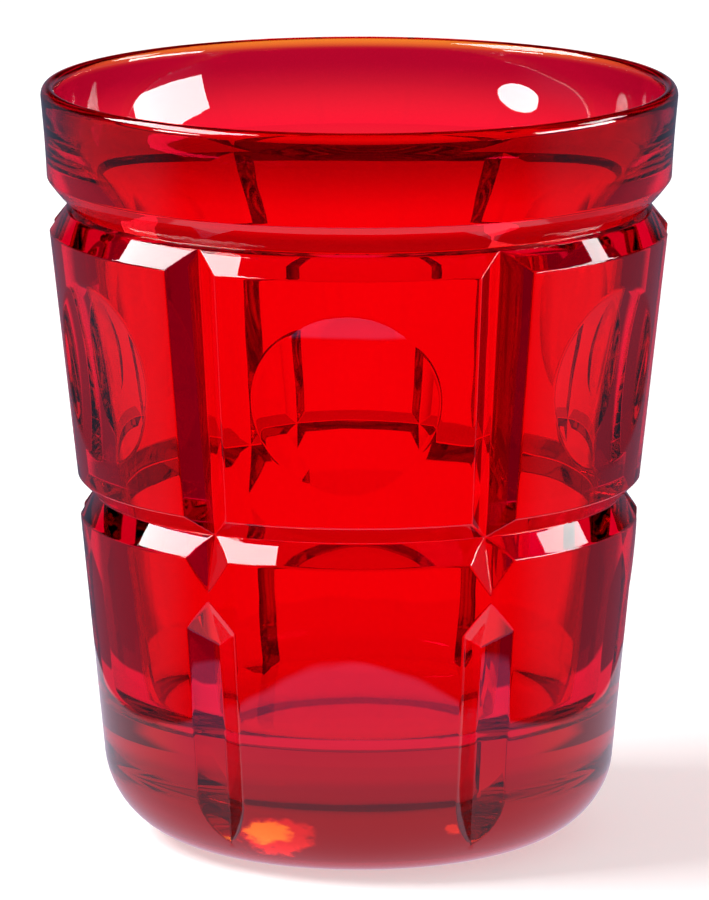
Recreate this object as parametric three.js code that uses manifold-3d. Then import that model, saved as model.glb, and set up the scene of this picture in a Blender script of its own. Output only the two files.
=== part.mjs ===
// Ruby glass tumbler with a panelled, wheel-cut wall.
// Units are millimetres, +Z is up, and the glass stands on z = 0 around the Z axis.
import * as THREE from 'three';
import { ConvexGeometry } from 'three/addons/geometries/ConvexGeometry.js';
import { mergeVertices, toCreasedNormals } from 'three/addons/utils/BufferGeometryUtils.js';
import Module from 'manifold-3d';

// Overall size
const HEIGHT = 100;
const FACETS_AROUND = 96;
const CREASE_ANGLE = THREE.MathUtils.degToRad(7);

// Foot and heel
const REST_INNER_R = 18.6;
const HEEL_R = 12.2;
const HEEL_STEPS = 12;
const PUNT_DEPTH = 0.9;
const PUNT_EDGE_R = 16.4;

// Lower tier, a slightly tapered wall rising from the heel
const LOWER_TOP_Z = 43.0;
const LOWER_TOP_R = 36.8;
const LOWER_TAPER = 0.094;

// Ring groove between the lower and the upper tier
const WAIST_VALLEY_Z = 46.0;
const WAIST_VALLEY_DEPTH = 2.4;

// Upper tier with the six panels
const UPPER_BOTTOM_Z = 48.4;
const UPPER_BOTTOM_R = 37.1;
const UPPER_TOP_Z = 81.0;
const UPPER_TOP_R = 40.6;

// Ring groove under the rim band: bevel, narrow step, valley and two slopes up to the band
const NECK_STEP_Z = 83.8;
const NECK_STEP_DEPTH = 2.25;
const NECK_VALLEY_Z = 84.1;
const NECK_VALLEY_DEPTH = 3.05;
const NECK_BEND_Z = 86.4;
const NECK_BEND_DEPTH = 1.2;

// Rim band and rounded lip
const BAND_BOTTOM_Z = 88.0;
const BAND_BOTTOM_R = 40.9;
const BAND_MIDDLE_Z = 92.4;
const BAND_MIDDLE_R = 41.1;
const RIM_R = 41.65;
const LIP_THICKNESS = 2.0;
const LIP_HEIGHT = 1.3;
const LIP_STEPS = 8;

// Inside of the bowl
const FLOOR_Z = 17.2;
const FLOOR_RISE = 0.7;
const FLOOR_FILLET_R = 5.0;
const FILLET_STEPS = 5;
const BORE_R_AT_FLOOR = 28.4;
const BORE_R_AT_FLARE = 35.3;
const FLARE_START_Z = 81;
const FLARE_LOW_REACH = 6;
const FLARE_HIGH_REACH = 5.5;
const FLARE_TOP_TAPER = 0.12;
const FLARE_STEPS = 8;

// Upright cuts and thumbprint dishes, repeated around the glass
const PANEL_COUNT = 6;
const CUT_OVERSHOOT = 3.0;

// Long mitre cut between two upper panels
const MITRE_DEPTH_TOP = 2.6;
const MITRE_DEPTH_BOTTOM = 2.2;
const MITRE_BEND_Z = 45.5;
const MITRE_SHOULDER_Z = 43.5;
const MITRE_SHOULDER_HALF_WIDTH = 3.5;
const MITRE_TIP_Z = 38.7;

// Pointed flute below it, running out through the heel
const FLUTE_TIP_Z = 37.5;
const FLUTE_SHOULDER_Z = 33.5;
const FLUTE_SHOULDER_HALF_WIDTH = 3.6;
const FLUTE_BEND_Z = 31.3;
const FLUTE_DEPTH = 2.2;
const FLUTE_VALLEY_TAPER = 0.093;
const FLUTE_END_Z = -2;

// Round dish in the middle of each upper panel
const DISH_R = 12.0;
const DISH_DEPTH = 1.85;
const DISH_FACETS_AROUND = 36;
const DISH_RINGS = 4;

// Straight line through two points of the wall: radius at a height
function radiusOnLine(z, zA, rA, zB, rB) {
  return rA + ((z - zA) * (rB - rA)) / (zB - zA);
}

const lowerWallR = (z) => LOWER_TOP_R + LOWER_TAPER * (z - LOWER_TOP_Z);
const upperWallR = (z) => radiusOnLine(z, UPPER_BOTTOM_Z, UPPER_BOTTOM_R, UPPER_TOP_Z, UPPER_TOP_R);

// Points of an elliptic arc in the profile plane, without the first one
function arcPoints(r, z, halfWidth, halfHeight, from, to, steps) {
  const arc = new THREE.EllipseCurve(r, z, halfWidth, halfHeight, from, to, to < from);
  return arc.getPoints(steps).slice(1);
}

// Profile of the blank: up the outside, over the lip, down the inside
const lowerLean = Math.atan(LOWER_TAPER);
const heelCentreR = lowerWallR(HEEL_R) - HEEL_R / Math.cos(lowerLean);
const lipCentreR = RIM_R - LIP_THICKNESS / 2;
const lipCentreZ = HEIGHT - LIP_HEIGHT;
const boreLineR = (z) => radiusOnLine(z, FLOOR_Z, BORE_R_AT_FLOOR, FLARE_START_Z, BORE_R_AT_FLARE);
const boreLean = Math.atan((BORE_R_AT_FLARE - BORE_R_AT_FLOOR) / (FLARE_START_Z - FLOOR_Z));
const filletCentreZ = FLOOR_Z + FLOOR_FILLET_R;
const filletCentreR = boreLineR(filletCentreZ) - FLOOR_FILLET_R / Math.cos(boreLean);
const innerLipR = lipCentreR - LIP_THICKNESS / 2;
const flareLowZ = FLARE_START_Z + FLARE_LOW_REACH;
const flare = new THREE.CubicBezierCurve(
  new THREE.Vector2(innerLipR, lipCentreZ),
  new THREE.Vector2(innerLipR - FLARE_TOP_TAPER * FLARE_HIGH_REACH, lipCentreZ - FLARE_HIGH_REACH),
  new THREE.Vector2(boreLineR(flareLowZ), flareLowZ),
  new THREE.Vector2(BORE_R_AT_FLARE, FLARE_START_Z),
);

const profile = [
  new THREE.Vector2(0, PUNT_DEPTH),
  new THREE.Vector2(PUNT_EDGE_R, PUNT_DEPTH),
  new THREE.Vector2(REST_INNER_R, 0),
  new THREE.Vector2(heelCentreR, 0),
  ...arcPoints(heelCentreR, HEEL_R, HEEL_R, HEEL_R, -Math.PI / 2, -lowerLean, HEEL_STEPS),
  new THREE.Vector2(LOWER_TOP_R, LOWER_TOP_Z),
  new THREE.Vector2(UPPER_BOTTOM_R - WAIST_VALLEY_DEPTH, WAIST_VALLEY_Z),
  new THREE.Vector2(UPPER_BOTTOM_R, UPPER_BOTTOM_Z),
  new THREE.Vector2(UPPER_TOP_R, UPPER_TOP_Z),
  new THREE.Vector2(UPPER_TOP_R - NECK_STEP_DEPTH, NECK_STEP_Z),
  new THREE.Vector2(UPPER_TOP_R - NECK_VALLEY_DEPTH, NECK_VALLEY_Z),
  new THREE.Vector2(BAND_BOTTOM_R - NECK_BEND_DEPTH, NECK_BEND_Z),
  new THREE.Vector2(BAND_BOTTOM_R, BAND_BOTTOM_Z),
  new THREE.Vector2(BAND_MIDDLE_R, BAND_MIDDLE_Z),
  new THREE.Vector2(RIM_R, lipCentreZ),
  ...arcPoints(lipCentreR, lipCentreZ, LIP_THICKNESS / 2, LIP_HEIGHT, 0, Math.PI, LIP_STEPS),
  ...flare.getPoints(FLARE_STEPS).slice(1),
  ...arcPoints(filletCentreR, filletCentreZ, FLOOR_FILLET_R, FLOOR_FILLET_R,
    -boreLean, -Math.PI / 2, FILLET_STEPS),
  new THREE.Vector2(0, FLOOR_Z - FLOOR_RISE),
];
const blank = new THREE.LatheGeometry(profile, FACETS_AROUND);
blank.rotateX(Math.PI / 2);

// V-shaped cut seen from the glass: a straight valley that bends up to a point.
// Each point holds its distance from the axis, its sideways offset and its height.
function pointedCut(bend, valleyEnd, shoulder, tip) {
  const valley = valleyEnd.clone().sub(bend);
  const toShoulder = shoulder.clone().sub(bend);
  const level = toShoulder.clone().addScaledVector(valley, -toShoulder.z / valley.z);
  const points = [bend, valleyEnd];
  points.push(bend.clone().addScaledVector(tip.clone().sub(bend), CUT_OVERSHOOT));
  for (const side of [1, -1]) {
    const mirror = new THREE.Vector3(1, side, 1);
    points.push(bend.clone().addScaledVector(toShoulder.clone().multiply(mirror), CUT_OVERSHOOT));
    points.push(valleyEnd.clone().addScaledVector(level.clone().multiply(mirror), CUT_OVERSHOOT));
  }
  return new ConvexGeometry(points);
}

// Point on the wall at a sideways offset from the middle of a cut
function onWall(radius, offset, z) {
  return new THREE.Vector3(Math.sqrt(radius * radius - offset * offset), offset, z);
}

const mitreTopR = UPPER_TOP_R - MITRE_DEPTH_TOP;
const mitreBottomR = UPPER_BOTTOM_R - MITRE_DEPTH_BOTTOM;
const mitreValleyR = (z) => radiusOnLine(z, UPPER_BOTTOM_Z, mitreBottomR, UPPER_TOP_Z, mitreTopR);
const mitreCut = pointedCut(
  new THREE.Vector3(mitreValleyR(MITRE_BEND_Z), 0, MITRE_BEND_Z),
  new THREE.Vector3(mitreValleyR(NECK_VALLEY_Z), 0, NECK_VALLEY_Z),
  onWall(lowerWallR(MITRE_SHOULDER_Z), MITRE_SHOULDER_HALF_WIDTH, MITRE_SHOULDER_Z),
  new THREE.Vector3(lowerWallR(MITRE_TIP_Z), 0, MITRE_TIP_Z),
);

const fluteBendR = lowerWallR(FLUTE_BEND_Z) - FLUTE_DEPTH;
const fluteEndR = fluteBendR - FLUTE_VALLEY_TAPER * (FLUTE_BEND_Z - FLUTE_END_Z);
const fluteCut = pointedCut(
  new THREE.Vector3(fluteBendR, 0, FLUTE_BEND_Z),
  new THREE.Vector3(fluteEndR, 0, FLUTE_END_Z),
  onWall(lowerWallR(FLUTE_SHOULDER_Z), FLUTE_SHOULDER_HALF_WIDTH, FLUTE_SHOULDER_Z),
  new THREE.Vector3(lowerWallR(FLUTE_TIP_Z), 0, FLUTE_TIP_Z),
);

// Dish: a shallow bowl turned as a parabola, then bent to the curve of the panel, which keeps its
// outline a true circle
const dishZ = (UPPER_BOTTOM_Z + UPPER_TOP_Z) / 2;
const dishWallR = upperWallR(dishZ);
const panelLean = Math.atan((UPPER_TOP_R - UPPER_BOTTOM_R) / (UPPER_TOP_Z - UPPER_BOTTOM_Z));
const dishReach = DISH_R + CUT_OVERSHOOT;
const dishProfile = [];
for (let i = 0; i <= DISH_RINGS; i += 1) {
  const reach = (dishReach * i) / DISH_RINGS;
  dishProfile.push(new THREE.Vector2(reach, DISH_DEPTH * ((reach / DISH_R) ** 2 - 1)));
}
const dishTopHeight = dishProfile[DISH_RINGS].y + CUT_OVERSHOOT;
dishProfile.push(new THREE.Vector2(dishReach, dishTopHeight), new THREE.Vector2(0, dishTopHeight));
const dishCut = new THREE.LatheGeometry(dishProfile, DISH_FACETS_AROUND);
dishCut.rotateZ(-Math.PI / 2);
const dishPoints = dishCut.attributes.position;
for (let i = 0; i < dishPoints.count; i += 1) {
  const panelFall = (dishPoints.getY(i) ** 2 * Math.cos(panelLean)) / (2 * dishWallR);
  dishPoints.setX(i, dishPoints.getX(i) - panelFall);
}
dishCut.rotateY(panelLean);
dishCut.translate(dishWallR, 0, dishZ);

// Closed solid of a geometry, ready to be cut
const wasm = await Module();
wasm.setup();

function solidOf(geometry) {
  const bare = geometry.clone();
  bare.deleteAttribute('normal');
  bare.deleteAttribute('uv');
  const welded = mergeVertices(bare, 1e-4);
  const index = welded.index
    ? welded.index.array
    : Array.from({ length: welded.attributes.position.count }, (_, i) => i);
  return new wasm.Manifold(new wasm.Mesh({
    numProp: 3,
    vertProperties: new Float32Array(welded.attributes.position.array),
    triVerts: new Uint32Array(index),
  }));
}

// Copy of a cut, turned around the glass
function turned(geometry, angle) {
  return solidOf(geometry.clone().rotateZ(angle));
}

// The panels are centred on -Y and every sixth of a turn, the upright cuts lie between them
const panelStep = (2 * Math.PI) / PANEL_COUNT;
let glass = solidOf(blank);
for (let i = 0; i < PANEL_COUNT; i += 1) {
  const panelAngle = -Math.PI / 2 + i * panelStep;
  const cutAngle = panelAngle + panelStep / 2;
  glass = glass.subtract(turned(dishCut, panelAngle));
  glass = glass.subtract(turned(mitreCut, cutAngle));
  glass = glass.subtract(turned(fluteCut, cutAngle));
}

// Cut surface with crisp ground edges and smooth fire-polished rounds
const cutMesh = glass.getMesh();
const surface = new THREE.BufferGeometry();
const cutPoints = new Float32Array(cutMesh.vertProperties);
surface.setAttribute('position', new THREE.BufferAttribute(cutPoints, 3));
surface.setIndex(new THREE.BufferAttribute(new Uint32Array(cutMesh.triVerts), 1));
const body = toCreasedNormals(surface, CREASE_ANGLE);

const rubyGlass = new THREE.MeshStandardMaterial({
  name: 'ruby_glass',
  color: new THREE.Color('#c8102e'),
  roughness: 0.05,
  metalness: 0,
});
const glassBody = new THREE.Mesh(body, rubyGlass);
glassBody.name = 'glass_body';

const tumbler = new THREE.Group();
tumbler.name = 'tumbler';
tumbler.add(glassBody);

export default tumbler;
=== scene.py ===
# %% [markdown]
# # A cut ruby glass tumbler
# The glass on the table is one piece: a pressed blank of red glass whose outside was cut on a wheel.
# Two ring grooves divide the wall into rim band, upper tier and lower tier, upright mitre cuts divide
# the upper tier into six panels, each panel has a round dish, and pointed flutes run down to the foot.
# The lesson first loads the measured frame, then models one twelfth of the glass and copies it round.

# %% Load the frame
import math

import bpy
import numpy as np
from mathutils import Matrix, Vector


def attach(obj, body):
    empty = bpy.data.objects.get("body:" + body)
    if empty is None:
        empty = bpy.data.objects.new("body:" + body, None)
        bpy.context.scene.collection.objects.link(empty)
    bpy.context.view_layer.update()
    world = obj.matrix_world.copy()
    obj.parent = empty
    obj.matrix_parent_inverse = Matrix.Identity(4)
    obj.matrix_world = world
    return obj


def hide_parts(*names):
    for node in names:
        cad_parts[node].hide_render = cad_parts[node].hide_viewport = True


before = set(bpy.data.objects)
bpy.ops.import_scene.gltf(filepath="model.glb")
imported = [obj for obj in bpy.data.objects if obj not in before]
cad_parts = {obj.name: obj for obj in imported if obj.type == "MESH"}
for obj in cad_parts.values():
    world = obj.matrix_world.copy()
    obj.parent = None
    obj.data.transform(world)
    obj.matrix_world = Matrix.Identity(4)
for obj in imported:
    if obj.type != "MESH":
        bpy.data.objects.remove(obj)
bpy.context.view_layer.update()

MM = 0.001

# %% [markdown]
# ## Sizes of the real glass
# All sizes are millimetres. They repeat the solid's, so the detailed glass stays in the same place,
# apart from the flare inside the mouth, which is longer here, because the lines seen through the band
# of the real glass show it so. Heights are measured from the table, radii from the axis.

# %% Sizes of the profile
HEIGHT = 100.0
REST_INNER_R, PUNT_EDGE_R, PUNT_DEPTH = 18.6, 16.4, 0.9
HEEL_R = 12.2
LOWER_TOP_Z, LOWER_TOP_R, LOWER_TAPER = 43.0, 36.8, 0.094
WAIST_VALLEY_Z, WAIST_VALLEY_R = 46.0, 34.7
UPPER_BOTTOM_Z, UPPER_BOTTOM_R = 48.4, 37.1
UPPER_TOP_Z, UPPER_TOP_R = 81.0, 40.6
NECK_STEP_Z, NECK_STEP_R = 83.8, 38.35
NECK_VALLEY_Z, NECK_VALLEY_R = 84.1, 37.55
NECK_BEND_Z, NECK_BEND_R = 86.4, 39.7
BAND_BOTTOM_Z, BAND_BOTTOM_R = 88.0, 40.9
BAND_MIDDLE_Z, BAND_MIDDLE_R = 92.4, 41.1
RIM_R, LIP_THICKNESS, LIP_HEIGHT = 41.65, 2.0, 1.3
FLOOR_Z, FLOOR_RISE, FLOOR_FILLET_R = 17.2, 0.7, 5.0
BORE_R_AT_FLOOR, BORE_R_AT_FLARE, FLARE_START_Z = 28.4, 35.3, 81.0
FLARE_LOW_REACH, FLARE_HIGH_REACH, FLARE_TOP_TAPER = 4.0, 9.0, 0.08

# %% Sizes of the cuts
PANELS = 6
HALF_PANEL = math.pi / PANELS
MITRE_DEPTH_TOP, MITRE_DEPTH_BOTTOM = 2.6, 2.2
MITRE_BEND_Z, MITRE_SHOULDER_Z, MITRE_TIP_Z = 45.5, 43.5, 38.7
MITRE_SHOULDER_HALF_WIDTH = 3.5
FLUTE_TIP_Z, FLUTE_SHOULDER_Z, FLUTE_BEND_Z = 37.5, 33.5, 31.3
FLUTE_SHOULDER_HALF_WIDTH, FLUTE_DEPTH, FLUTE_VALLEY_TAPER = 3.6, 2.2, 0.093
DISH_R, DISH_DEPTH = 12.0, 1.85
EDGE_SOFTNESS = 0.14
VALLEY_SOFTNESS = 0.07
ROUGH_WALL_R, ROUGH_CUT_R = 40.0, 38.0
NO_CUT_R = 1000.0

# %% [markdown]
# ## The wall as a rule
# A wheel-cut wall can be read as a rule: the distance from the axis at each angle and height is that
# of the blank or of a cut, whichever lies deeper. Polishing rounds each edge by a tenth of a
# millimetre or two, so the rule blends the two surfaces where they meet instead of switching sharply.
# A Boolean would give the same cuts, but not the rounded edges that catch the light.


# %% Blend two surfaces
def lower_of(a, b, softness):
    overlap = np.maximum(softness - np.abs(a - b), 0.0) / softness
    return np.minimum(a, b) - overlap * overlap * softness / 4


def higher_of(a, b, softness):
    return -lower_of(-a, -b, softness)


def line_through(z, z_a, r_a, z_b, r_b):
    return r_a + (z - z_a) * (r_b - r_a) / (z_b - z_a)


# %% Radius of the uncut walls
LIP_CENTRE_R = RIM_R - LIP_THICKNESS / 2
LIP_CENTRE_Z = HEIGHT - LIP_HEIGHT
LOWER_LEAN = math.atan(LOWER_TAPER)


def lower_wall_r(z):
    return LOWER_TOP_R + LOWER_TAPER * (z - LOWER_TOP_Z)


def upper_wall_r(z):
    return line_through(z, UPPER_BOTTOM_Z, UPPER_BOTTOM_R, UPPER_TOP_Z, UPPER_TOP_R)


HEEL_CENTRE_R = lower_wall_r(HEEL_R) - HEEL_R / math.cos(LOWER_LEAN)


def heel_r(z):
    rise = np.clip(HEEL_R - z, 0.0, HEEL_R)
    return HEEL_CENTRE_R + np.sqrt(np.maximum(HEEL_R ** 2 - rise ** 2, 0.0))


def flank_r(z, *corners):
    """One side of a groove through two or three corners, the middle one standing out."""
    radius = line_through(z, *corners[0], *corners[1])
    if len(corners) == 3:
        radius = lower_of(radius, line_through(z, *corners[1], *corners[2]), EDGE_SOFTNESS)
    return radius


def ring_groove_r(z, *corners):
    """A groove through an odd number of (height, radius) corners, the middle one its valley."""
    middle = len(corners) // 2
    return higher_of(flank_r(z, *corners[:middle + 1]), flank_r(z, *corners[middle:]), VALLEY_SOFTNESS)


def blank_r(z):
    z = np.asarray(z, float)
    tangent_z = HEEL_R * (1 - math.sin(LOWER_LEAN))
    lower = np.where(z < tangent_z, heel_r(z), lower_wall_r(z))
    band = higher_of(line_through(z, BAND_BOTTOM_Z, BAND_BOTTOM_R, BAND_MIDDLE_Z, BAND_MIDDLE_R),
                     line_through(z, BAND_MIDDLE_Z, BAND_MIDDLE_R, LIP_CENTRE_Z, RIM_R), EDGE_SOFTNESS)
    wall = np.where(z < WAIST_VALLEY_Z, lower, np.where(z < NECK_VALLEY_Z, upper_wall_r(z), band))
    waist = ring_groove_r(z, (LOWER_TOP_Z, LOWER_TOP_R), (WAIST_VALLEY_Z, WAIST_VALLEY_R),
                          (UPPER_BOTTOM_Z, UPPER_BOTTOM_R))
    neck = ring_groove_r(z, (UPPER_TOP_Z, UPPER_TOP_R), (NECK_STEP_Z, NECK_STEP_R),
                         (NECK_VALLEY_Z, NECK_VALLEY_R), (NECK_BEND_Z, NECK_BEND_R),
                         (BAND_BOTTOM_Z, BAND_BOTTOM_R))
    groove = np.where(z < 0.5 * (WAIST_VALLEY_Z + NECK_VALLEY_Z), waist, neck)
    return lower_of(wall, groove, EDGE_SOFTNESS)


print("blank radius at 10, 43, 46, 48, 65, 84, 95 mm",
      np.round(blank_r([10, 43, 46.1, 48.3, 65, 84.2, 95]), 2).tolist())


# %% [markdown]
# ## Upright cuts and dishes as rules
# A V wheel leaves two flat flanks that meet in a straight valley. Where the wheel is lifted the valley
# bends up to a point, and two short flanks close the cut like the tip of a pencil. The dish is a
# shallow bowl: a parabola turned about the middle of the panel and bent to the panel's own curve,
# so that its outline stays a true circle.


# %% Flat flank through three points, as a radius at an angle and height
def flank(a, b, c):
    """Distance from the axis of the plane x = p + q z + s |y| through three points (x, y, z)."""
    rows = np.array([[1.0, point[2], point[1]] for point in (a, b, c)])
    p, q, s = np.linalg.solve(rows, np.array([point[0] for point in (a, b, c)]))

    def radius(turn, z):
        side = np.sqrt(np.sin(turn) ** 2 + (VALLEY_SOFTNESS / ROUGH_WALL_R) ** 2)
        return (p + q * z) / (np.cos(turn) - s * side)
    return radius


def pointed_cut(bend, valley_end, shoulder, tip):
    long_flank = flank(bend, valley_end, shoulder)
    short_flank = flank(bend, shoulder, tip)

    def radius(turn, z):
        return higher_of(long_flank(turn, z), short_flank(turn, z), VALLEY_SOFTNESS)
    return radius


def on_wall(radius, offset, z):
    return (math.sqrt(radius * radius - offset * offset), offset, z)


# %% Place the mitre cut and the flute
def mitre_valley_r(z):
    return line_through(z, UPPER_BOTTOM_Z, UPPER_BOTTOM_R - MITRE_DEPTH_BOTTOM,
                        UPPER_TOP_Z, UPPER_TOP_R - MITRE_DEPTH_TOP)


mitre_r = pointed_cut(
    (mitre_valley_r(MITRE_BEND_Z), 0.0, MITRE_BEND_Z),
    (mitre_valley_r(NECK_VALLEY_Z), 0.0, NECK_VALLEY_Z),
    on_wall(lower_wall_r(MITRE_SHOULDER_Z), MITRE_SHOULDER_HALF_WIDTH, MITRE_SHOULDER_Z),
    (lower_wall_r(MITRE_TIP_Z), 0.0, MITRE_TIP_Z))
FLUTE_BEND_R = lower_wall_r(FLUTE_BEND_Z) - FLUTE_DEPTH
flute_r = pointed_cut(
    (FLUTE_BEND_R, 0.0, FLUTE_BEND_Z),
    (FLUTE_BEND_R - FLUTE_VALLEY_TAPER * FLUTE_BEND_Z, 0.0, 0.0),
    on_wall(lower_wall_r(FLUTE_SHOULDER_Z), FLUTE_SHOULDER_HALF_WIDTH, FLUTE_SHOULDER_Z),
    (lower_wall_r(FLUTE_TIP_Z), 0.0, FLUTE_TIP_Z))
CUT_SPLIT_Z = (MITRE_TIP_Z + FLUTE_TIP_Z) / 2


def upright_cut_r(turn, z):
    """Radius of the mitre cut or the flute, by the angle from the middle of the cut."""
    radius = np.where(z > CUT_SPLIT_Z, mitre_r(turn, z), flute_r(turn, z))
    return np.where(z > NECK_VALLEY_Z, NO_CUT_R, radius)


# %% Place the dish
DISH_Z = (UPPER_BOTTOM_Z + UPPER_TOP_Z) / 2
DISH_WALL_R = float(upper_wall_r(DISH_Z))
PANEL_LEAN = math.atan((UPPER_TOP_R - UPPER_BOTTOM_R) / (UPPER_TOP_Z - UPPER_BOTTOM_Z))


def dish_r(turn, z):
    """Radius of the surface of the bowl, by the angle from the middle of the panel and the height."""
    lean_cos, lean_sin = math.cos(PANEL_LEAN), math.sin(PANEL_LEAN)
    upright_curve = 2 * DISH_DEPTH / DISH_R ** 2
    side_curve = upright_curve - lean_cos / DISH_WALL_R
    # Ray from the axis, seen in axes that lean with the panel: n out of it, u up along it
    step_n = np.cos(turn) * lean_cos
    step_u = np.cos(turn) * lean_sin
    start_n = -DISH_WALL_R * lean_cos - (z - DISH_Z) * lean_sin
    start_u = -DISH_WALL_R * lean_sin + (z - DISH_Z) * lean_cos
    # The ray meets the bowl where n = upright_curve u^2 / 2 + side_curve y^2 / 2 - depth
    a = (upright_curve * step_u ** 2 + side_curve * np.sin(turn) ** 2) / 2
    b = upright_curve * step_u * start_u - step_n
    c = upright_curve * start_u ** 2 / 2 - DISH_DEPTH - start_n
    return 2 * c / (-b + np.sqrt(b * b - 4 * a * c))


print("dish depth in the middle", round(DISH_WALL_R - float(dish_r(0.0, DISH_Z)), 2), "mm")


# %% Whole outside wall
def wall_r(panel_turn, z):
    """Radius of the finished wall, by the angle from the middle of the panel and the height."""
    panel_turn = np.abs(panel_turn)
    radius = lower_of(blank_r(z), upright_cut_r(HALF_PANEL - panel_turn, z), EDGE_SOFTNESS)
    return lower_of(radius, dish_r(panel_turn, z), EDGE_SOFTNESS)


print("panel wall at mid height", round(float(blank_r(DISH_Z)), 2),
      "mitre valley", round(float(wall_r(HALF_PANEL, DISH_Z)), 2), "mm")

# %% [markdown]
# ## Lines of the mesh
# Refraction shows every uneven face, so the mesh lines follow the cuts: a column of points runs along
# each edge of the upright cuts and meets the ring grooves on their mitre lines, rows lie close
# together at each edge, and the panel carries rings round its dish. The wall of half a panel is laid
# out this way once, and mirrored and turned for the other eleven.

# %% Columns: where the edge of the upright cut runs
EDGE_OFFSETS = (0.55, 0.33, 0.15, 0.0)
CUT_SHARES = (0.955, 0.9, 0.8, 0.66, 0.5, 0.34, 0.2, 0.1, 0.045, 0.0)
PANEL_STEPS = 12
CUT_EDGE_COLUMN = PANEL_STEPS + len(EDGE_OFFSETS) - 1
NARROWEST_CUT, SPREAD_CUT, WIDEST_CUT = math.radians(0.35), math.radians(5.4), math.radians(12)
BISECTIONS = 40
FLUTE_EXIT_Z, FOOT_SPREAD_Z, BAND_SPREAD_Z = 4.6, 1.2, 94.0


def edge_of_cut(is_cut, low, high):
    """Where a cut ends between a place inside it and one outside, by bisection."""
    for _ in range(BISECTIONS):
        middle = (low + high) / 2
        if is_cut(middle):
            low = middle
        else:
            high = middle
    return low


def cut_half_angle(z):
    """Angle from the middle of an upright cut to its edge, and a chosen spread where there is none."""
    edge = edge_of_cut(lambda turn: upright_cut_r(turn, z) < blank_r(z), 0.0, WIDEST_CUT)
    if z < FLUTE_EXIT_Z:
        spread = min(1.0, (FLUTE_EXIT_Z - z) / (FLUTE_EXIT_Z - FOOT_SPREAD_Z))
    else:
        spread = min(1.0, max(0.0, (z - NECK_VALLEY_Z) / (BAND_SPREAD_Z - NECK_VALLEY_Z)))
    return max(edge, NARROWEST_CUT + (SPREAD_CUT - NARROWEST_CUT) * spread)


def column_turns(z):
    """Angles of all columns from the middle of the panel to the middle of the cut."""
    edge = cut_half_angle(z)
    reach = [edge + offset / ROUGH_CUT_R for offset in EDGE_OFFSETS]
    reach += [edge * share for share in CUT_SHARES]
    turns = [HALF_PANEL - turn for turn in reach]
    return np.array([turns[0] * i / PANEL_STEPS for i in range(PANEL_STEPS)] + turns)


COLUMNS = len(column_turns(DISH_Z))
print(COLUMNS, "columns in half a panel; edge of the mitre cut at",
      round(math.degrees(cut_half_angle(DISH_Z)), 2), "degrees")


# %% Rows: close together at each edge
EDGE_GAPS = (0.0, 0.13, 0.28, 0.5)


def rows_between(low, high, step, edges):
    """Heights from low to high, about a step apart and closer beside each edge."""
    near = [edge + side * gap for edge in edges for gap in EDGE_GAPS for side in (-1, 1)]
    heights = {round(z, 4) for z in near if low < z < high} | {low, high}
    for a, b in zip(sorted(heights)[:-1], sorted(heights)[1:]):
        count = max(1, math.ceil((b - a) / step))
        heights |= {round(a + (b - a) * i / count, 4) for i in range(1, count)}
    return sorted(heights)


PANEL_LOW_Z = UPPER_BOTTOM_Z + EDGE_GAPS[-1]
PANEL_HIGH_Z = UPPER_TOP_Z - EDGE_GAPS[-1]
FLUTE_HIP = FLUTE_SHOULDER_Z - FLUTE_BEND_Z
HIP_START_Z = 22.0
HEEL_TOP_Z = HEEL_R * (1 - math.sin(LOWER_LEAN))
HEEL_DEGREES = np.linspace(0, 84, 16)[2:]
FOOT_ROWS_TO_Z, CUT_ROWS_FROM_Z = 30.0, 30.3
NECK_ROWS_TO_Z, BAND_ROWS_FROM_Z = 89.0, 90.0
FOOT_STEP, CUT_STEP, PANEL_STEP, NECK_STEP, BAND_STEP = 2.2, 0.6, 1.2, 0.7, 1.4

heel_heights = [HEEL_R * (1 - math.cos(math.radians(degrees))) for degrees in HEEL_DEGREES]
lower_heights = (heel_heights
                 + rows_between(HEEL_TOP_Z, FOOT_ROWS_TO_Z, FOOT_STEP, [])
                 + rows_between(CUT_ROWS_FROM_Z, PANEL_LOW_Z, CUT_STEP,
                                [FLUTE_SHOULDER_Z, FLUTE_TIP_Z, MITRE_TIP_Z, LOWER_TOP_Z,
                                 WAIST_VALLEY_Z, UPPER_BOTTOM_Z]))
panel_heights = rows_between(PANEL_LOW_Z, PANEL_HIGH_Z, PANEL_STEP, [])
upper_heights = (rows_between(PANEL_HIGH_Z, NECK_ROWS_TO_Z, NECK_STEP,
                              [UPPER_TOP_Z, NECK_STEP_Z, NECK_VALLEY_Z, NECK_BEND_Z, BAND_BOTTOM_Z])
                 + rows_between(BAND_ROWS_FROM_Z, LIP_CENTRE_Z, BAND_STEP, []))
print("rows", len(lower_heights), len(panel_heights), len(upper_heights))


# %% Points of the wall
def wall_points(turns, heights):
    """Points of the finished wall in metres; the panel's middle faces -Y."""
    radius = wall_r(turns, heights)
    return np.stack([radius * np.sin(turns), -radius * np.cos(turns), heights], axis=-1) * MM


def wall_rows(heights, first_column):
    """A grid of wall points, whose rows dip along the hip line of the flute."""
    rows = []
    for z in heights:
        turns = column_turns(z)
        edge_turn = turns[CUT_EDGE_COLUMN]
        in_cut = np.clip((turns - edge_turn) / (HALF_PANEL - edge_turn), 0, 1)
        hip = np.interp(z, [HIP_START_Z, FLUTE_SHOULDER_Z, FLUTE_TIP_Z], [0, FLUTE_HIP, 0])
        rows.append(wall_points(turns, z - hip * in_cut)[first_column:])
    return rows


def spun_rows(profile):
    """A grid of points for a part of the glass without cuts, from its (radius, height) profile."""
    turns = column_turns(HEIGHT)
    return [np.stack([radius * np.sin(turns), -radius * np.cos(turns), np.full(COLUMNS, z)],
                     axis=-1) * MM for radius, z in profile]


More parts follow.
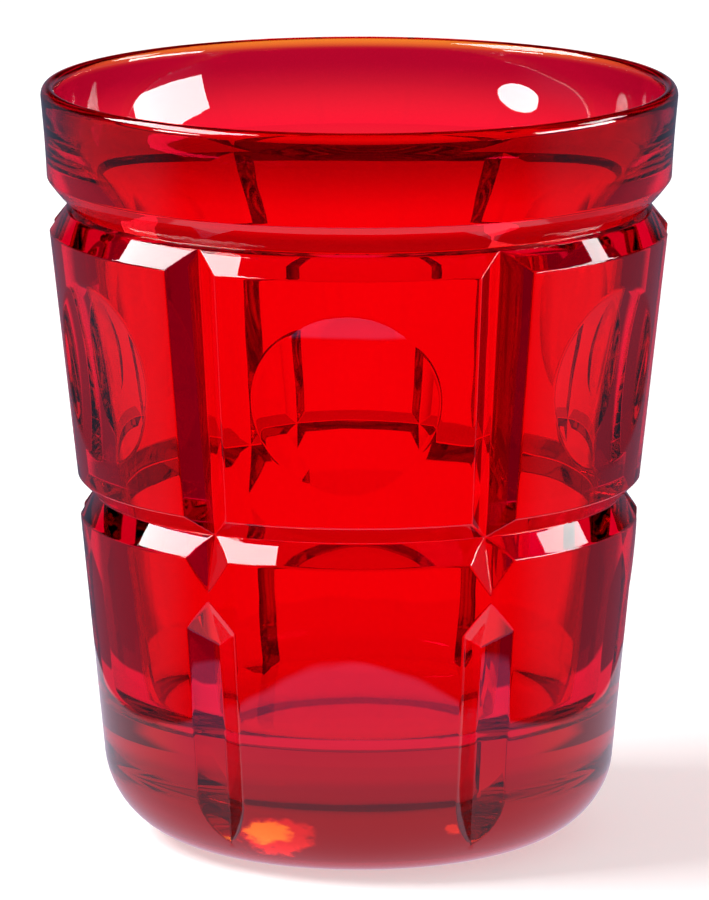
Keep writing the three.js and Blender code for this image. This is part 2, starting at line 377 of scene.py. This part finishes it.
# %% [markdown]
# ## Underside, lip and bowl
# The foot is hidden in the picture. Such glasses stand on a narrow ring around a shallow hollow, so
# the profile has one. The lip is fire-polished to a soft round, and the bowl tapers down to a fillet
# and a slightly dished floor. These parts are turned, so each is a profile repeated at every column.


# %% Profiles of the turned parts
def arc(radius, z, half_width, half_height, start, end, steps):
    """Points (radius, height) on an elliptic arc, angles in degrees."""
    angles = np.radians(np.linspace(start, end, steps + 1))
    return [(radius + half_width * math.cos(a), z + half_height * math.sin(a)) for a in angles]


def bore_r(z):
    return line_through(z, FLOOR_Z, BORE_R_AT_FLOOR, FLARE_START_Z, BORE_R_AT_FLARE)


LIP_STEPS, FLARE_STEPS, BORE_STEPS, FILLET_STEPS = 16, 18, 13, 12
foot_profile = ([(r, PUNT_DEPTH) for r in (0.0, 3.0, 6.0, 9.0, 12.0, 14.5, PUNT_EDGE_R - 0.35)]
                + [(PUNT_EDGE_R, PUNT_DEPTH - 0.08), (PUNT_EDGE_R + 0.4, PUNT_DEPTH - 0.22),
                   (REST_INNER_R - 0.6, 0.22), (REST_INNER_R - 0.25, 0.07), (REST_INNER_R, 0.015),
                   (REST_INNER_R + 0.3, 0.0), (HEEL_CENTRE_R, 0.0)])
lip_profile = arc(LIP_CENTRE_R, LIP_CENTRE_Z, LIP_THICKNESS / 2, LIP_HEIGHT, 0, 180, LIP_STEPS)[1:]
INNER_LIP_R = LIP_CENTRE_R - LIP_THICKNESS / 2
flare_low_z = FLARE_START_Z + FLARE_LOW_REACH
flare_points = [(INNER_LIP_R, LIP_CENTRE_Z),
                (INNER_LIP_R - FLARE_TOP_TAPER * FLARE_HIGH_REACH, LIP_CENTRE_Z - FLARE_HIGH_REACH),
                (bore_r(flare_low_z), flare_low_z), (BORE_R_AT_FLARE, FLARE_START_Z)]
flare_profile = []
for t in np.linspace(0, 1, FLARE_STEPS + 1)[1:]:
    weights = ((1 - t) ** 3, 3 * t * (1 - t) ** 2, 3 * t ** 2 * (1 - t), t ** 3)
    flare_profile.append(tuple(sum(w * p[k] for w, p in zip(weights, flare_points)) for k in (0, 1)))
BORE_LEAN = math.degrees(math.atan((BORE_R_AT_FLARE - BORE_R_AT_FLOOR) / (FLARE_START_Z - FLOOR_Z)))
fillet_z = FLOOR_Z + FLOOR_FILLET_R
fillet_r = bore_r(fillet_z) - FLOOR_FILLET_R / math.cos(math.radians(BORE_LEAN))
fillet_profile = arc(fillet_r, fillet_z, FLOOR_FILLET_R, FLOOR_FILLET_R, -BORE_LEAN, -90, FILLET_STEPS)
bore_heights = np.linspace(FLARE_START_Z, fillet_profile[0][1], BORE_STEPS + 1)[1:-1]
bore_profile = [(bore_r(z), z) for z in bore_heights]
floor_profile = [(fillet_r * s, FLOOR_Z - FLOOR_RISE * (1 - s ** 2))
                 for s in (0.9, 0.75, 0.6, 0.45, 0.3, 0.15, 0.0)]
print("wall behind the dish", round(float(wall_r(0.0, DISH_Z)) - bore_r(DISH_Z), 2), "mm thick")


# %% [markdown]
# ## Rings round the dish
# Inside the panel the mesh changes from a rectangle to a circle, so that the rim of the dish is a
# clean line of edges. Spokes run from the middle of the dish to the border of the panel.

# %% Spokes and rings of the dish
def panel_place(across, up):
    """Angle and height of a point of the panel, from its distances in mm to the middle of the dish."""
    z = DISH_Z + up * math.cos(PANEL_LEAN)
    return np.arcsin(across / upper_wall_r(z)), z


def dish_edge(spoke):
    """Distance from the middle of the dish to its rim along a spoke."""
    def in_dish(reach):
        turn, z = panel_place(reach * math.cos(spoke), reach * math.sin(spoke))
        return dish_r(turn, z) < blank_r(z)
    return edge_of_cut(in_dish, DISH_R - DISH_DEPTH, DISH_R + DISH_DEPTH)


border = ([(turn, PANEL_LOW_Z) for turn in column_turns(PANEL_LOW_Z)[:PANEL_STEPS]]
          + [(column_turns(z)[PANEL_STEPS], z) for z in panel_heights]
          + [(turn, PANEL_HIGH_Z) for turn in column_turns(PANEL_HIGH_Z)[:PANEL_STEPS][::-1]])
side_count = len(panel_heights) - 1
spokes = np.radians(np.concatenate([
    np.linspace(-90, -45, PANEL_STEPS, endpoint=False),
    np.linspace(-45, 45, side_count, endpoint=False),
    np.linspace(45, 90, PANEL_STEPS + 1)]))
DISH_SHARES = (0.0, 0.1, 0.2, 0.3, 0.4, 0.5, 0.6, 0.7, 0.79, 0.87, 0.93)
RIM_OFFSETS = [-gap for gap in EDGE_GAPS[:0:-1]] + list(EDGE_GAPS)
OUTER_SHARES = (0.15, 0.32, 0.5, 0.68, 0.85)

dish_rows = []
for spoke, (border_turn, border_z) in zip(spokes, border):
    edge = dish_edge(spoke)
    reach = [edge * share for share in DISH_SHARES] + [edge + offset for offset in RIM_OFFSETS]
    across = [r * math.cos(spoke) for r in reach]
    up = [r * math.sin(spoke) for r in reach]
    border_across = float(upper_wall_r(border_z)) * math.sin(border_turn)
    border_up = (border_z - DISH_Z) / math.cos(PANEL_LEAN)
    rim_across, rim_up = across[-1], up[-1]
    across += [rim_across + (border_across - rim_across) * share for share in OUTER_SHARES]
    up += [rim_up + (border_up - rim_up) * share for share in OUTER_SHARES]
    turns, heights = panel_place(np.array(across), np.array(up))
    dish_rows.append(wall_points(np.append(turns, border_turn), np.append(heights, border_z)))
print(len(dish_rows), "spokes of", len(dish_rows[0]), "points")


# %% [markdown]
# ## Model one twelfth of the glass
# Each patch starts as a grid primitive with the right count of rows and columns. Its points are then
# laid on the wall, as a sheet of paper is wrapped round a jar, and the patches are joined and welded.


# %% Lay a grid on the glass
def lay_grid(name, rows):
    """Add a grid primitive and wrap its points on the given rows of points."""
    points = np.array(rows)
    count_y, count_x = points.shape[:2]
    bpy.ops.mesh.primitive_grid_add(x_subdivisions=count_x - 1, y_subdivisions=count_y - 1, size=1)
    patch = bpy.context.active_object
    patch.name = name
    patch.data.vertices.foreach_set("co", points.reshape(-1).astype(np.float32))
    patch.data.update()
    return patch


def select_only(objects):
    bpy.ops.object.select_all(action="DESELECT")
    for obj in objects:
        obj.select_set(True)
    bpy.context.view_layer.objects.active = objects[0]


def weld(obj, gap):
    select_only([obj])
    bpy.ops.object.mode_set(mode="EDIT")
    bpy.ops.mesh.select_all(action="SELECT")
    bpy.ops.mesh.remove_doubles(threshold=gap)
    bpy.ops.object.mode_set(mode="OBJECT")


bpy.ops.object.select_all(action="DESELECT")
patches = [
    lay_grid("foot_and_lower_tier", spun_rows(foot_profile) + wall_rows(lower_heights, 0)),
    lay_grid("mitre_cut", wall_rows(panel_heights, PANEL_STEPS)),
    lay_grid("panel_and_dish", dish_rows),
    lay_grid("band_lip_and_bowl", wall_rows(upper_heights, 0) + spun_rows(
        lip_profile + flare_profile + bore_profile + fillet_profile + floor_profile)),
]
select_only(patches)
bpy.ops.object.join()
glass = bpy.context.active_object
glass.name = "cut_glass_tumbler"
WELD_GAP = 0.002 * MM
weld(glass, WELD_GAP)
print("half a panel:", len(glass.data.polygons), "faces")

# %% Mirror the half panel and turn it round the axis
mirror = glass.modifiers.new("other_half", "MIRROR")
mirror.use_axis = (True, False, False)
mirror.merge_threshold = WELD_GAP
select_only([glass])
bpy.ops.object.modifier_apply(modifier=mirror.name)
sectors = [glass]
for number in range(1, PANELS):
    select_only([glass])
    bpy.ops.object.duplicate()
    sector = bpy.context.active_object
    bpy.ops.transform.rotate(value=number * 2 * HALF_PANEL, orient_axis="Z",
                             center_override=(0.0, 0.0, 0.0))
    bpy.ops.object.transform_apply(location=True, rotation=True, scale=True)
    sectors.append(sector)
select_only(sectors)
bpy.ops.object.join()
glass = bpy.context.active_object
weld(glass, WELD_GAP)
select_only([glass])
bpy.ops.object.mode_set(mode="EDIT")
bpy.ops.mesh.select_all(action="SELECT")
bpy.ops.mesh.normals_make_consistent(inside=False)
bpy.ops.mesh.select_all(action="DESELECT")
bpy.ops.mesh.select_non_manifold()
bpy.ops.object.mode_set(mode="OBJECT")
loose_edges = sum(edge.select for edge in glass.data.edges)
triangles = sum(len(face.vertices) - 2 for face in glass.data.polygons)
print("whole glass:", triangles, "triangles,", loose_edges, "open edges")

# %% [markdown]
# ## True normals
# Between the rounded edges the flanks are flat and the panels are plain cones. Normals averaged from
# the faces would bend light wrongly beside each edge, so each point of the wall gets the normal of
# the rule itself, from its slope sideways and upwards.

# %% Normals of the wall from its slope
FOOT_ROUND_Z, LIP_MARGIN, BOWL_MARGIN, LEAST_AGREEMENT = 1.0, 0.01, 0.8, 0.8
STEP = 1e-4
bpy.ops.object.shade_smooth()
mesh = glass.data
points = np.empty(len(mesh.vertices) * 3)
mesh.vertices.foreach_get("co", points)
points = points.reshape(-1, 3) / MM
normals = np.empty(len(mesh.vertices) * 3)
mesh.vertex_normals.foreach_get("vector", normals)
normals = normals.reshape(-1, 3)

radius = np.hypot(points[:, 0], points[:, 1])
turn = np.arctan2(points[:, 0], -points[:, 1])
panel_turn = (turn + HALF_PANEL) % (2 * HALF_PANEL) - HALF_PANEL
z = points[:, 2]
on_outside = (z > FOOT_ROUND_Z) & (z < LIP_CENTRE_Z - LIP_MARGIN) & (radius > bore_r(z) + BOWL_MARGIN)
slope_turn = (wall_r(panel_turn + STEP, z) - wall_r(panel_turn - STEP, z)) / (2 * STEP)
slope_up = (wall_r(panel_turn, z + STEP) - wall_r(panel_turn, z - STEP)) / (2 * STEP)
outward = np.stack([np.sin(turn), -np.cos(turn), np.zeros_like(turn)], axis=1)
around = np.stack([np.cos(turn), np.sin(turn), np.zeros_like(turn)], axis=1)
rule_normals = outward - around * (slope_turn / radius.clip(1.0))[:, None]
rule_normals[:, 2] -= slope_up
rule_normals /= np.linalg.norm(rule_normals, axis=1)[:, None]
agree = (rule_normals * normals).sum(axis=1)
use_rule = on_outside & (agree > LEAST_AGREEMENT)
normals[use_rule] = rule_normals[use_rule]
mesh.normals_split_custom_set_from_vertices(normals.tolist())
print(int(use_rule.sum()), "normals from the rule,", int((on_outside & ~use_rule).sum()), "from the faces")


# %% [markdown]
# ## Ruby glass
# Soda-lime glass coloured all through with selenium. It lets red light pass almost freely and stops
# green and blue, so the heavy foot looks a deep red. Absorption in the volume gives the change with
# thickness, and a tint on the surface gives each wall its basic red. The top band is tinted a deeper
# red than the rest of the wall. The top of the lip is tinted yellow, a painted glow that stands in for
# bright light shining through the thin lip and turns it orange.
# A faint bump is the slight waviness of ground and polished faces.

# %% Colours and helpers for nodes
WHITE = (1.0, 1.0, 1.0, 1.0)
SMOOTH = {"interpolation_type": "SMOOTHSTEP"}
NUMBERS, TONES = {"data_type": "FLOAT"}, {"data_type": "RGBA"}


def linear(code):
    """Linear colour of an sRGB hex value."""
    parts = [int(code[i:i + 2], 16) / 255 for i in (1, 3, 5)]
    return tuple(c / 12.92 if c <= 0.04045 else ((c + 0.055) / 1.055) ** 2.4 for c in parts) + (1.0,)


def add_node(tree, kind, settings=None, **sockets):
    """Add a node, set its properties, and set or link its inputs by name or, as _0, by number."""
    node = tree.nodes.new(kind)
    for key, value in (settings or {}).items():
        setattr(node, key, value)
    for name, value in sockets.items():
        socket = node.inputs[int(name[1:])] if name[0] == "_" else node.inputs[name.replace("_", " ")]
        if isinstance(value, bpy.types.NodeSocket):
            tree.links.new(value, socket)
        else:
            socket.default_value = value
    return node


def new_tree(owner):
    owner.use_nodes = True
    owner.node_tree.nodes.clear()
    return owner.node_tree


def from_to(start, end):
    """Where a smooth change starts and ends, as inputs of a Map Range node."""
    return {"From_Min": start, "From_Max": end}


# %% Material of the glass
# The top of the lip gets a painted glow: a yellow tint standing in for bright light shining through the
# thin lip
TINT_PER_WALL, TINT_AT_RIM, PAINTED_GLOW_AT_LIP = "#ff5c38", "#b4182c", "#fff030"
DEEPER_BAND_EDGE, LIP_GLOW_EDGE = from_to(88 * MM, 97 * MM), from_to(98.4 * MM, 99.4 * MM)
ABSORPTION_PER_M = 700.0
TINT_IN_DEPTH = "#fd00f8"
GLASS_IOR, POLISH = 1.52, 0.01
WAVE_MM, WAVE_DEPTH_MM, WAVE_SHARE = 9.0, 0.4, 0.12
WALL_TO_PRINT = 3 * MM
ruby = bpy.data.materials.new("selenium_ruby_glass")
tree = new_tree(ruby)
place = add_node(tree, "ShaderNodeTexCoord").outputs["Object"]
height = add_node(tree, "ShaderNodeSeparateXYZ", Vector=place).outputs["Z"]
# Mask of the top band, which is tinted a deeper red than the rest of the wall
deeper_band = add_node(tree, "ShaderNodeMapRange", SMOOTH, Value=height, **DEEPER_BAND_EDGE).outputs[0]
# Mask of the top of the lip, where the painted glow is mixed in
lip = add_node(tree, "ShaderNodeMapRange", SMOOTH, Value=height, **LIP_GLOW_EDGE).outputs[0]
tint = add_node(tree, "ShaderNodeMix", TONES, _0=deeper_band, _6=linear(TINT_PER_WALL),
                _7=linear(TINT_AT_RIM)).outputs[2]
tint = add_node(tree, "ShaderNodeMix", TONES, _0=lip, _6=tint, _7=linear(PAINTED_GLOW_AT_LIP)).outputs[2]
wave = add_node(tree, "ShaderNodeTexNoise", {"noise_dimensions": "3D"}, Vector=place,
                Scale=1 / (WAVE_MM * MM), Detail=1.0, Roughness=0.4)
wave_bump = add_node(tree, "ShaderNodeBump", Strength=WAVE_SHARE, Distance=WAVE_DEPTH_MM * MM,
                     Height=wave.outputs["Fac"])
shine = add_node(tree, "ShaderNodeBsdfPrincipled", Base_Color=tint, Roughness=POLISH, IOR=GLASS_IOR,
                 Transmission_Weight=1.0, Normal=wave_bump.outputs["Normal"])
volume = add_node(tree, "ShaderNodeVolumeAbsorption", Color=linear(TINT_IN_DEPTH),
                  Density=ABSORPTION_PER_M)
add_node(tree, "ShaderNodeOutputMaterial", Surface=shine.outputs["BSDF"], Volume=volume.outputs["Volume"])
glass.data.materials.clear()
glass.data.materials.append(ruby)
print("share of red, green and blue left after a wall of 3 mm",
      [round(face * math.exp(-ABSORPTION_PER_M * (1 - depth) * WALL_TO_PRINT), 3)
       for face, depth in zip(linear(TINT_PER_WALL)[:3], linear(TINT_IN_DEPTH)[:3])])

# %% Say what the piece stands for
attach(glass, "root")
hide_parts("glass_body")

# %% [markdown]
# ## The studio round the glass
# Glass is drawn by what it reflects and lets through. The camera sees a plain white table and room.
# Light that passes through the glass sees the studio round it: a white card under the glass, a bright
# backdrop, a bright front, and dim sides that make the flanks of the glass dark. Mirrored light sees
# the card and little else. Angles are degrees from the middle of the backdrop, and 1 is white.

# %% Brightness of the studio by direction
BACKDROP_LIGHT, FRONT_LIGHT = 1.1, 0.9
LEFT_LIGHT, RIGHT_LIGHT = 0.27, 0.21
HORIZON_LIGHT, CEILING_LIGHT = 1.0, 0.72
ROOM_LIGHT = 0.5
DIM_REFLECTION = "#66667e"
LEFT_EDGE, RIGHT_EDGE, FRONT_EDGE = (
    from_to(*map(math.radians, turns)) for turns in ((-41, -31), (38, 26), (100, 122)))
# A direction of length 1 rises above the table by the sine of its angle
CEILING_EDGE, DIM_TOP_EDGE = (
    from_to(*(math.sin(math.radians(rise)) for rise in rises)) for rises in ((12, 3), (14, 5)))


# %% Choose a shader by the kind of ray
def by_ray(tree, plain, seen, mirrored, refracted):
    """A plain shader for all light, and others for the camera, for mirrors and for clear glass."""
    rays = add_node(tree, "ShaderNodeLightPath").outputs
    shader = plain
    for kind, other in (("Camera", seen), ("Glossy", mirrored), ("Transmission", refracted)):
        shader = add_node(tree, "ShaderNodeMixShader", _0=rays[f"Is {kind} Ray"], _1=shader,
                          _2=other).outputs[0]
    return shader


# %% [markdown]
# ## Table
# A white laminate top. What the camera sees of it glows a little more far away, so it runs into the
# white room without a line, and near the foot it is painted faintly red, as if the glass threw red light
# on it. Near the foot it also holds two small painted glints, the left one with an orange core, which
# only mirrored light sees: they stand in for light that the glass gathers there. A noise makes them
# ragged.

# %% Table top
TABLE_SIZE, TABLE_DROP = 6.0, 0.04 * MM
bpy.ops.object.select_all(action="DESELECT")
bpy.ops.mesh.primitive_plane_add(size=TABLE_SIZE, location=(0, 0, -TABLE_DROP))
table = bpy.context.active_object
table.name = "white_table"
bpy.ops.object.transform_apply(location=True)
laminate = bpy.data.materials.new("white_laminate")
table.data.materials.append(laminate)

# %% Regions of the table
CARD_HALF_WIDTH, CARD_HALF_LENGTH, CARD_MIDDLE_Y = 0.080, 0.117, 0.013
CARD_EDGE, MIDDLE_EDGE = from_to(1.015, 0.985), from_to(-0.01, 0.01)
tree = new_tree(laminate)
place = add_node(tree, "ShaderNodeTexCoord").outputs["Object"]
axes = add_node(tree, "ShaderNodeSeparateXYZ", Vector=place)
east, north = axes.outputs["X"], axes.outputs["Y"]
away = add_node(tree, "ShaderNodeVectorMath", {"operation": "LENGTH"}, _0=place).outputs["Value"]
oval = add_node(tree, "ShaderNodeVectorMath", {"operation": "MULTIPLY_ADD"}, _0=place,
                _1=(1 / CARD_HALF_WIDTH, 1 / CARD_HALF_LENGTH, 0.0),
                _2=(0.0, -CARD_MIDDLE_Y / CARD_HALF_LENGTH, 0.0)).outputs[0]
oval_r = add_node(tree, "ShaderNodeVectorMath", {"operation": "LENGTH"}, _0=oval).outputs["Value"]
card = add_node(tree, "ShaderNodeMapRange", SMOOTH, Value=oval_r, **CARD_EDGE).outputs[0]
turn = add_node(tree, "ShaderNodeMath", {"operation": "ARCTAN2"}, _0=east, _1=north).outputs[0]
past_left = add_node(tree, "ShaderNodeMapRange", SMOOTH, Value=turn, **LEFT_EDGE).outputs[0]
before_right = add_node(tree, "ShaderNodeMapRange", SMOOTH, Value=turn, **RIGHT_EDGE).outputs[0]
behind = add_node(tree, "ShaderNodeMath", {"operation": "MULTIPLY"}, _0=past_left,
                  _1=before_right).outputs[0]
turn_either_way = add_node(tree, "ShaderNodeMath", {"operation": "ABSOLUTE"}, _0=turn).outputs[0]
in_front = add_node(tree, "ShaderNodeMapRange", SMOOTH, Value=turn_either_way, **FRONT_EDGE).outputs[0]

# %% The table for the camera and for lamps
LAMINATE = "#c8c8c8"
GLOW_NEAR, GLOW_FAR, GLOW_EDGE = 0.49, 0.62, from_to(0.15, 0.6)
# Painted red light on the table near the foot, seen by the camera only
PAINTED_RED_TONE, PAINTED_RED_LIGHT, PAINTED_RED_EDGE = (1.0, 0.0, 0.05, 1.0), 0.07, from_to(0.15, 0.05)
plain = add_node(tree, "ShaderNodeBsdfDiffuse", Color=linear(LAMINATE)).outputs[0]
glow = add_node(tree, "ShaderNodeMapRange", SMOOTH, Value=away, To_Min=GLOW_NEAR, To_Max=GLOW_FAR,
                **GLOW_EDGE).outputs[0]
painted_red_strength = add_node(tree, "ShaderNodeMapRange", SMOOTH, Value=away, To_Min=0.0, To_Max=PAINTED_RED_LIGHT,
                  **PAINTED_RED_EDGE).outputs[0]
seen = plain
for strength, tone in ((glow, WHITE), (painted_red_strength, PAINTED_RED_TONE)):
    light = add_node(tree, "ShaderNodeEmission", Color=tone, Strength=strength).outputs[0]
    seen = add_node(tree, "ShaderNodeAddShader", _0=seen, _1=light).outputs[0]

# %% The table through the glass
sides = add_node(tree, "ShaderNodeMapRange", SMOOTH, Value=east, To_Min=LEFT_LIGHT, To_Max=RIGHT_LIGHT,
                 **MIDDLE_EDGE).outputs[0]
around = add_node(tree, "ShaderNodeMix", NUMBERS, _0=behind, _2=sides, _3=BACKDROP_LIGHT).outputs[0]
around = add_node(tree, "ShaderNodeMix", NUMBERS, _0=in_front, _2=around, _3=FRONT_LIGHT).outputs[0]
off_card = add_node(tree, "ShaderNodeEmission", Color=WHITE, Strength=around).outputs[0]
on_card = add_node(tree, "ShaderNodeEmission", Color=WHITE, Strength=1.0).outputs[0]
refracted = add_node(tree, "ShaderNodeMixShader", _0=card, _1=off_card, _2=on_card).outputs[0]

# %% The table in a mirror, with each painted glint as its x, y and radius in mm, strength and tone
CARD_REFLECTION_NEAR, CARD_REFLECTION_FAR = "#dcd2e8", "#c0a8ff"
CARD_TONE_EDGE = from_to(0.045, 0.10)
PAINTED_GLINTS = ((-12.8, -33.5, 7.6, 9.0, "#ff1c08"), (-14.6, -33.2, 4.8, 8.0, "#ffa808"),
                (18.5, -32.0, 2.4, 8.0, "#ff3408"))
RAGGED_PER_M, RAGGED_SHARE = 480.0, 0.9
GLINT_OUTER, GLINT_INNER = 1.5, 1.1
far = add_node(tree, "ShaderNodeMapRange", SMOOTH, Value=away, **CARD_TONE_EDGE).outputs[0]
far_front = add_node(tree, "ShaderNodeMath", {"operation": "MULTIPLY"}, _0=in_front, _1=far).outputs[0]
card_tone = add_node(tree, "ShaderNodeMix", TONES, _0=far_front, _6=linear(CARD_REFLECTION_NEAR),
                     _7=linear(CARD_REFLECTION_FAR)).outputs[2]
mirrored = add_node(tree, "ShaderNodeEmission", Color=card_tone, Strength=1.0).outputs[0]
ragged = add_node(tree, "ShaderNodeTexNoise", {"noise_dimensions": "3D"}, Vector=place,
                  Scale=RAGGED_PER_M, Detail=3.0).outputs["Fac"]
# Each painted glint is a ragged warm spot of light on the table that only mirrors see
for x_mm, y_mm, radius_mm, strength, tone in PAINTED_GLINTS:
    glint_r = radius_mm * MM
    reach = add_node(tree, "ShaderNodeVectorMath", {"operation": "DISTANCE"}, _0=place,
                     _1=(x_mm * MM, y_mm * MM, 0.0)).outputs["Value"]
    reach = add_node(tree, "ShaderNodeMath", {"operation": "MULTIPLY_ADD"}, _0=ragged,
                     _1=RAGGED_SHARE * glint_r, _2=reach).outputs[0]
    patch = add_node(tree, "ShaderNodeMapRange", SMOOTH, Value=reach, To_Min=0.0, To_Max=strength,
                     **from_to(GLINT_OUTER * glint_r, GLINT_INNER * glint_r)).outputs[0]
    light = add_node(tree, "ShaderNodeEmission", Color=linear(tone), Strength=patch).outputs[0]
    mirrored = add_node(tree, "ShaderNodeAddShader", _0=mirrored, _1=light).outputs[0]
beside = add_node(tree, "ShaderNodeMath", {"operation": "SUBTRACT"}, _0=1.0, _1=in_front).outputs[0]
dim = add_node(tree, "ShaderNodeEmission", Color=linear(DIM_REFLECTION), Strength=beside).outputs[0]
mirrored = add_node(tree, "ShaderNodeMixShader", _0=card, _1=dim, _2=mirrored).outputs[0]
add_node(tree, "ShaderNodeOutputMaterial", Surface=by_ray(tree, plain, seen, mirrored, refracted))
print("nodes in the table's material:", len(tree.nodes))

# %% [markdown]
# ## Room and lamps
# The room goes on where the table ends: white for the camera, bright low down and a little less bright
# above for light through the glass, and dim beside and behind the glass in mirrors. One large box
# lights the table from the left. Four more boxes are only seen in mirrors, for the bright reflections
# on the bevels and inside the rim.

# %% Room
world = bpy.data.worlds.new("white_studio")
bpy.context.scene.world = world
tree = new_tree(world)
direction = add_node(tree, "ShaderNodeTexCoord").outputs["Generated"]
axes = add_node(tree, "ShaderNodeSeparateXYZ", Vector=direction)
east, north, rise = axes.outputs["X"], axes.outputs["Y"], axes.outputs["Z"]
turn = add_node(tree, "ShaderNodeMath", {"operation": "ARCTAN2"}, _0=east, _1=north).outputs[0]
turn = add_node(tree, "ShaderNodeMath", {"operation": "ABSOLUTE"}, _0=turn).outputs[0]
in_front = add_node(tree, "ShaderNodeMapRange", SMOOTH, Value=turn, **FRONT_EDGE).outputs[0]
beside = add_node(tree, "ShaderNodeMath", {"operation": "SUBTRACT"}, _0=1.0, _1=in_front).outputs[0]
low = add_node(tree, "ShaderNodeMapRange", SMOOTH, Value=rise, **DIM_TOP_EDGE).outputs[0]
dim = add_node(tree, "ShaderNodeMath", {"operation": "MULTIPLY"}, _0=beside, _1=low).outputs[0]
bright = add_node(tree, "ShaderNodeMapRange", SMOOTH, Value=rise, To_Min=CEILING_LIGHT,
                  To_Max=HORIZON_LIGHT, **CEILING_EDGE).outputs[0]
plain, seen, mirrored, refracted = (
    add_node(tree, "ShaderNodeBackground", Color=tone, Strength=strength).outputs[0]
    for tone, strength in ((WHITE, ROOM_LIGHT), (WHITE, 1.0), (linear(DIM_REFLECTION), dim),
                           (WHITE, bright)))
add_node(tree, "ShaderNodeOutputWorld", Surface=by_ray(tree, plain, seen, mirrored, refracted))

# %% Lamps
GLASS_MIDDLE = Vector((0.0, 0.0, 0.06))


def soft_box(name, turn, rise, away, width, height, power, shape="RECTANGLE", lights_table=False):
    """A flat lamp that points at the glass, placed by its angles round it and above it."""
    lamp = bpy.data.lights.new(name, "AREA")
    lamp.shape, lamp.size, lamp.size_y, lamp.energy = shape, width, height, power
    box = bpy.data.objects.new(name, lamp)
    bpy.context.scene.collection.objects.link(box)
    turn, rise = math.radians(turn), math.radians(rise)
    step = Vector((math.sin(turn) * math.cos(rise), math.cos(turn) * math.cos(rise), math.sin(rise)))
    box.location = GLASS_MIDDLE + step * away
    box.rotation_euler = (-step).to_track_quat("-Z", "Y").to_euler()
    box.visible_diffuse, box.visible_glossy = lights_table, not lights_table
    box.visible_transmission = False


soft_box("key_box", -102, 44, 0.86, 0.50, 0.40, 11.5, lights_table=True)
soft_box("left_box", -98, 44, 0.86, 0.80, 0.43, 16.0)
soft_box("right_box", 71, 31, 0.83, 0.30, 0.17, 1.6)
soft_box("right_low_box", 94, 14, 0.83, 0.55, 0.17, 5.5)
soft_box("left_low_box", -114, 15, 0.83, 0.30, 0.12, 1.9, shape="ELLIPSE")
print("lamps:", sorted(lamp.name for lamp in bpy.data.lights))

# %% [markdown]
# ## Camera
# A long lens about a metre away, a little above the rim and looking down by twelve degrees. It stands
# two degrees to the right of the middle of the front panel, which turns that panel slightly left.

# %% Camera
FRAME_HEIGHT_PX, SENSOR_MM = 900, 36.0
FOCAL_PX = 7639.0
CAMERA_TURN = math.radians(2.26)
CAMERA_AWAY, CAMERA_UP = 0.9867, 0.2548
LOOK_DOWN = math.radians(11.667)
AXIS_OFFSET_PX = 4.9
lens = bpy.data.cameras.new("long_lens")
lens.sensor_width = SENSOR_MM
lens.lens = FOCAL_PX / FRAME_HEIGHT_PX * SENSOR_MM
lens.clip_start, lens.clip_end = 0.05, 20.0
camera = bpy.data.objects.new("camera", lens)
bpy.context.scene.collection.objects.link(camera)
camera.location = (CAMERA_AWAY * math.sin(CAMERA_TURN), -CAMERA_AWAY * math.cos(CAMERA_TURN), CAMERA_UP)
camera.rotation_euler = (math.pi / 2 - LOOK_DOWN, 0.0, CAMERA_TURN + AXIS_OFFSET_PX / FOCAL_PX)
bpy.context.scene.camera = camera
print("lens", round(lens.lens, 1), "mm")

# %% [markdown]
# ## Last settings
# Light meets many surfaces on its way through the glass, so a ray may turn often before it is given
# up.

# %% Render settings
scene = bpy.context.scene
scene.view_settings.view_transform = "Standard"
scene.cycles.max_bounces = 24
scene.cycles.transmission_bounces = 24
scene.cycles.glossy_bounces = 12
